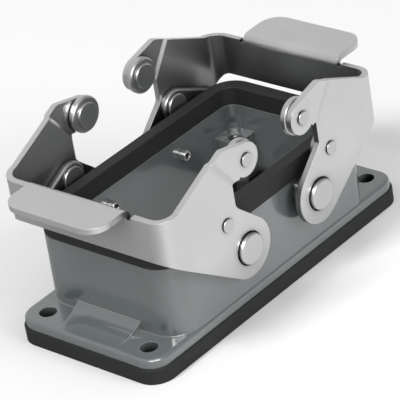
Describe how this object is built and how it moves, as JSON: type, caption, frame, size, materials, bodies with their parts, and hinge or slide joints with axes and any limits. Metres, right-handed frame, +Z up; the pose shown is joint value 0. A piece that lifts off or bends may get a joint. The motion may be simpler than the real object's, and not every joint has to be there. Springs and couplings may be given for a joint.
{
  "type": "heavy duty rectangular connector housing",
  "caption": "Panel mounted rectangular connector base: flanged housing with a gasket, a rim seal and a sheet steel locking lever at each end.",
  "frame": {"origin": "middle of the fixing hole pattern, on the underside of the flange gasket", "axes": "+X along the housing's long side, +Y across it, +Z up out of the panel"},
  "size_m": [0.1006, 0.0536, 0.0483],
  "materials": {
    "housing_paint": "glossy",
    "gasket_rubber": "matte",
    "seal_rubber": "satin",
    "lever_sheet": "satin",
    "stud_steel": "satin",
    "roller_steel": "polished",
    "pin_steel": "satin"
  },
  "bodies": {
    "base": {"housing": "housing_paint", "flange_gasket": "gasket_rubber", "rim_seal": "seal_rubber", "left_front_pivot_stud": "stud_steel", "left_rear_pivot_stud": "stud_steel", "right_front_pivot_stud": "stud_steel", "right_rear_pivot_stud": "stud_steel"},
    "left_lever": {"left_lever": "lever_sheet", "left_front_roller_pin": "pin_steel", "left_rear_roller_pin": "pin_steel", "left_front_stiffener_arm": "lever_sheet", "left_rear_stiffener_arm": "lever_sheet", "left_front_arm_rivet": "pin_steel", "left_rear_arm_rivet": "pin_steel"},
    "right_lever": {"right_lever": "lever_sheet", "right_front_roller_pin": "pin_steel", "right_rear_roller_pin": "pin_steel", "right_front_stiffener_arm": "lever_sheet", "right_rear_stiffener_arm": "lever_sheet", "right_front_arm_rivet": "pin_steel", "right_rear_arm_rivet": "pin_steel"},
    "left_front_roller": {"left_front_hook_roller": "roller_steel"},
    "left_rear_roller": {"left_rear_hook_roller": "roller_steel"},
    "right_front_roller": {"right_front_hook_roller": "roller_steel"},
    "right_rear_roller": {"right_rear_hook_roller": "roller_steel"}
  },
  "joints": [
    {"name": "left_lever_hinge", "type": "hinge", "parent": "base", "child": "left_lever", "pos_m": [-0.0134, 0, 0.02005], "axis": [0, -1, 0], "range_deg": [0, 44]},
    {"name": "right_lever_hinge", "type": "hinge", "parent": "base", "child": "right_lever", "pos_m": [0.0134, 0, 0.02005], "axis": [0, 1, 0], "range_deg": [0, 44]},
    {"name": "left_front_roller_spin", "type": "hinge", "parent": "left_lever", "child": "left_front_roller", "pos_m": [-0.0105, -0.0239, 0.0424], "axis": [0, 1, 0], "continuous": true},
    {"name": "left_rear_roller_spin", "type": "hinge", "parent": "left_lever", "child": "left_rear_roller", "pos_m": [-0.0105, 0.0239, 0.0424], "axis": [0, 1, 0], "continuous": true},
    {"name": "right_front_roller_spin", "type": "hinge", "parent": "right_lever", "child": "right_front_roller", "pos_m": [0.0105, -0.0239, 0.0424], "axis": [0, 1, 0], "continuous": true},
    {"name": "right_rear_roller_spin", "type": "hinge", "parent": "right_lever", "child": "right_rear_roller", "pos_m": [0.0105, 0.0239, 0.0424], "axis": [0, 1, 0], "continuous": true}
  ]
}
